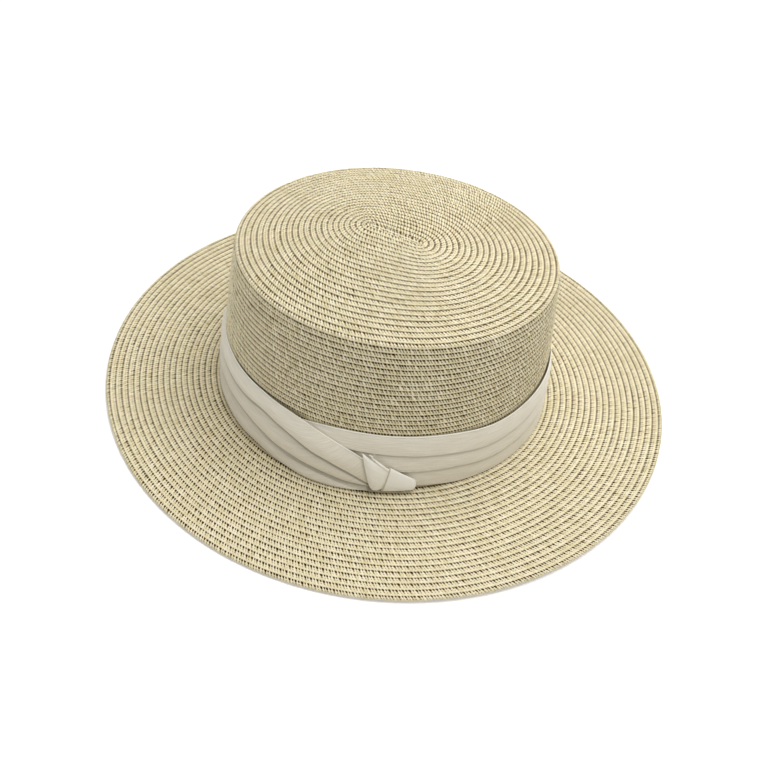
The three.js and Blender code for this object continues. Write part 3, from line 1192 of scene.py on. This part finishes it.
    def close_end(self, parts: MeshParts, ring: np.ndarray, far: bool) -> None:
        """Close an end of a loft with quads that run to the ring's middle line.

        Args:
            parts: The mesh that gets the quads.
            ring: The last ring of points.
            far: Whether this is the end that the sections run towards.
        """
        middle = ring.mean(axis=0)
        inner = middle + (ring - middle) * 0.02
        grid = np.stack([ring, inner]) if far else np.stack([inner, ring])
        parts.add_grid(grid, True, {"fold": 0.0 * grid[..., 0], "cloth": 0.0 * grid})

    def pad_section(
        self, place: float, lean: float, foot: float, top: float, depth: float, slope: float
    ) -> np.ndarray:
        """Return a rounded closed section that stands on the ribbon.

        Args:
            place: Degrees round the crown at the section's middle.
            lean: Degrees that its top stands off its middle.
            foot: Height of its foot.
            top: Height of its top.
            depth: How far it stands out.
            slope: How much more it stands out at the foot than at the top, as a share.
        """
        turn = -FULL_TURN * np.arange(self.pad_points) / self.pad_points
        rise = np.cos(turn)
        # A power under 1 makes the section a little fuller than an oval.
        swell = np.sign(np.sin(turn)) * np.abs(np.sin(turn)) ** 0.75
        outer = depth * (1.0 + swell) / 2.0
        offset = self.pad_base + outer * (1.0 - slope * rise)
        height = mix(foot, top, (1.0 + rise) / 2.0)
        return self.form.on_crown(np.radians(place - lean * rise), height, offset)

    def add_loft(
        self,
        parts: MeshParts,
        sections: list[np.ndarray],
        rim: float,
        painted_highlight: float,
        seam: int = 0,
    ) -> None:
        """Add a closed body through its sections, with cloth coordinates.

        Args:
            parts: The mesh that gets the body.
            sections: Closed rings of points that start at their top.
            rim: How much the rings' tops are painted paler, as a highlight, from 0 to 1.
            painted_highlight: How much the rest is painted paler, as a highlight.
            seam: How many of the first sections are painted darker, as shade where they come out of the
                knot.
        """
        grid = np.stack(sections)
        run = np.linalg.norm(np.diff(grid.mean(axis=1), axis=0), axis=1)
        along = np.concatenate([[0.0], np.cumsum(run)])
        ring = np.linalg.norm(np.diff(grid[len(grid) // 2], axis=0), axis=1)
        across = np.concatenate([[0.0], np.cumsum(ring)])
        # The third coordinate sets the slubs here apart from the strip's.
        cloth = np.stack(np.broadcast_arrays(along[:, None], across[None, :], 3.0), axis=-1)
        share = np.arange(grid.shape[1]) / grid.shape[1]
        # The tops of the rings are painted paler than the rest, and the rest a little paler too, as a
        # highlight where the light falls on it.
        near_top = mix(rim, painted_highlight, ease(np.minimum(share, 1.0 - share), 0.02, 0.07))
        fold = np.repeat(near_top[None, :], len(grid), axis=0)
        # The first rings are painted darker, as shade where they come out of the knot.
        fold[:seam] = -0.4
        parts.add_grid(grid, True, {"fold": fold, "cloth": cloth})
        self.close_end(parts, grid[0], False)
        self.close_end(parts, grid[-1], True)

    def build_knot(self) -> bpy.types.Object:
        """Build the turn of cloth wrapped round the gathered end, bowed and swollen midway."""
        sections = []
        for share in np.linspace(0.0, 1.0, self.loft_rings):
            bow = math.sin(math.pi * share)
            # The half wave is cut short, so that the knot's ends are thick.
            swell = math.sin(math.pi * mix(0.12, 0.88, share)) ** 0.5
            sections.append(
                self.pad_section(
                    place=mix(*self.knot_place, share) - self.knot_bow[0] * bow,
                    lean=mix(self.lean, self.tail_lean, share),
                    # The foot lies lowest just past the middle.
                    foot=self.knot_foot + 1.2 * abs(2.0 * share - 1.1) ** 2,
                    top=mix(*self.knot_top, share) + self.knot_bow[1] * bow,
                    depth=self.knot_depth * swell,
                    slope=self.knot_slope,
                )
            )
        parts = MeshParts()
        self.add_loft(parts, sections, 1.0, 0.5)
        return parts.build("ribbon_wrapped_knot")

    def build_tail(self) -> bpy.types.Object:
        """Build the short end of cloth that comes out of the knot."""
        sections = []
        for share in np.linspace(0.0, 1.0, self.loft_rings):
            # The last seventh is rounded off.
            blunt = math.sqrt(max(0.0, 1.0 - max(0.0, (share - 0.86) / 0.145) ** 2))
            foot = mix(*self.tail_foot, share)
            top = mix(*self.tail_top, share)
            middle = (foot + top) / 2.0
            sections.append(
                self.pad_section(
                    place=mix(*self.tail_place, share),
                    lean=mix(self.tail_lean, 0.0, share),
                    foot=mix(middle, foot, blunt),
                    top=mix(middle, top, blunt),
                    depth=mix(*self.tail_depth, share) * blunt,
                    slope=self.tail_slope,
                )
            )
        parts = MeshParts()
        self.add_loft(parts, sections, 0.9, 0.65, 2)
        return parts.build("ribbon_tail_end")

    def build_raw_edge(self) -> bpy.types.Object:
        """Build the raw edge of cloth above the knot, with its frayed thread."""
        parts = MeshParts()
        for path in (self.raw_edge, *self.frayed_ends):
            knots = np.array(path)
            sections = []
            for at in np.linspace(0.0, len(knots) - 1.0, 6 * len(knots)):
                place, height, offset, radius = (
                    float(np.interp(at, np.arange(len(knots)), column)) for column in knots.T
                )
                turn = -FULL_TURN * np.arange(self.thread_points) / self.thread_points
                arc = np.degrees(radius * np.cos(turn) * 0.5 / self.form.crown_base_half)
                sections.append(
                    self.form.on_crown(
                        np.radians(place + arc),
                        height + radius * np.cos(turn),
                        offset + radius * np.sin(turn),
                    )
                )
            self.add_loft(parts, sections, 1.0, 0.8)
        return parts.build("ribbon_raw_edge")

    def build(self) -> list[bpy.types.Object]:
        band, knot, tail = self.build_band(), self.build_knot(), self.build_tail()
        raw_edge = self.build_raw_edge()
        nodes = ("ribbon_band", "ribbon_knot", "ribbon_tail", "ribbon_knot")
        for piece, node in zip((band, knot, tail, raw_edge), nodes):
            piece.data.materials.append(self.material)
            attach(piece, BODY)
            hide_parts(node)
            LOG.info("%s: %d triangles", piece.name, 2 * len(piece.data.polygons))
        return [band, knot, tail, raw_edge]


@dataclass
class ClothWaves:
    """Small seeded waves of cloth that is pulled round the crown."""

    seed: int
    count: int = 9
    height: float = 0.17

    def __post_init__(self) -> None:
        """Draw each wave's change of phase, per degree and per millimetre, and its start."""
        rng = np.random.default_rng(self.seed)
        self._along = rng.uniform(0.05, 0.35, self.count)
        self._across = rng.uniform(-0.5, 0.5, self.count)
        self._phase = rng.uniform(0.0, FULL_TURN, self.count)

    def at(self, place: float, height: float) -> float:
        """Return the wave's height at a place in degrees and a height in millimetres."""
        phase = self._along * place + self._across * height + self._phase
        return self.height * float(np.sin(phase).sum()) / math.sqrt(self.count)


@dataclass
class Studio:
    """Floor, soft light and the photograph's camera."""

    floor_size: float = 6.0
    elevation: float = math.radians(47.44)
    azimuth: float = math.radians(-0.84)
    roll: float = math.radians(7.15)
    lens: float = 45.89
    sensor: float = 36.0
    distance: float = 569.8
    aim: tuple[float, float, float] = (-2.9, 0.26, 51.88)
    aim_right: float = 1.241
    aim_up: float = -40.9
    # Name, place in metres, side in metres and power in watts of each softbox.
    softboxes: tuple[tuple[str, tuple[float, float, float], float, float], ...] = (
        ("overhead_softbox", (0.2, 0.12, 1.15), 0.9, 12.0),
        ("right_softbox", (1.0, -0.35, 0.45), 0.6, 0.5),
        ("front_softbox", (-0.75, -0.95, 0.5), 0.7, 0.9),
    )
    surround: float = 0.31

    def build_floor(self) -> None:
        """Lay the floor."""
        half = self.floor_size / 2.0 / MM
        corners = np.array([[[-half, -half, 0], [-half, half, 0]], [[half, -half, 0], [half, half, 0]]])
        parts = MeshParts()
        parts.add_grid(corners.astype(float), False)
        floor = parts.build("studio_floor")
        floor.data.materials.append(StudioPaper().build())
        # It lies a hair under the brim, so that the two faces don't coincide.
        floor.location.z = -0.0002

    def build_light(self) -> None:
        """Hang one large soft light above and fill from all round."""
        world = bpy.context.scene.world or bpy.data.worlds.new("studio")
        bpy.context.scene.world = world
        world.use_nodes = True
        background = world.node_tree.nodes.get("Background")
        background.inputs["Color"].default_value = (1.0, 1.0, 1.0, 1.0)
        background.inputs["Strength"].default_value = self.surround
        for name, place, size, energy in self.softboxes:
            data = bpy.data.lights.new(name, "AREA")
            data.shape = "SQUARE"
            data.size = size
            data.energy = energy
            lamp = bpy.data.objects.new(name, data)
            lamp.location = place
            aim = Vector((0.0, 0.0, 0.05)) - lamp.location
            lamp.rotation_euler = aim.to_track_quat("-Z", "Y").to_euler()
            bpy.context.scene.collection.objects.link(lamp)

    def build_camera(self) -> None:
        """Set the camera at the photograph's angle."""
        back = Vector(
            (
                math.sin(self.azimuth) * math.cos(self.elevation),
                -math.cos(self.azimuth) * math.cos(self.elevation),
                math.sin(self.elevation),
            )
        )
        level = (-back).cross(Vector((0.0, 0.0, 1.0))).normalized()
        rise = level.cross(-back)
        right = math.cos(self.roll) * level + math.sin(self.roll) * rise
        up = -math.sin(self.roll) * level + math.cos(self.roll) * rise
        target = Vector(self.aim) + self.aim_right * level + self.aim_up * rise
        place = (target + back * self.distance) * MM
        data = bpy.data.cameras.new("photo_camera")
        data.lens = self.lens
        data.sensor_width = self.sensor
        data.clip_end = 50.0
        camera = bpy.data.objects.new("photo_camera", data)
        axes = Matrix((right, up, back)).transposed().to_4x4()
        camera.matrix_world = Matrix.Translation(place) @ axes
        bpy.context.scene.collection.objects.link(camera)
        bpy.context.scene.camera = camera

    def build(self) -> None:
        """Build the whole studio."""
        bpy.context.scene.view_settings.view_transform = "Standard"
        self.build_floor()
        self.build_light()
        self.build_camera()


def main() -> None:
    """Build the hat and its studio."""
    logging.basicConfig(level=logging.INFO, format="%(message)s")
    form = StrawForm.from_frame()
    Studio().build()
    straw = StrawBody(form, CrochetedPaperStraw().build()).build()
    ribbon = Ribbon(form, PlainWovenCloth().build()).build()
    triangles = sum(2 * len(piece.data.polygons) for piece in straw + ribbon)
    LOG.info("hat: %d pieces, %d triangles", len(straw) + len(ribbon), triangles)


if __name__ == "__main__":
    main()
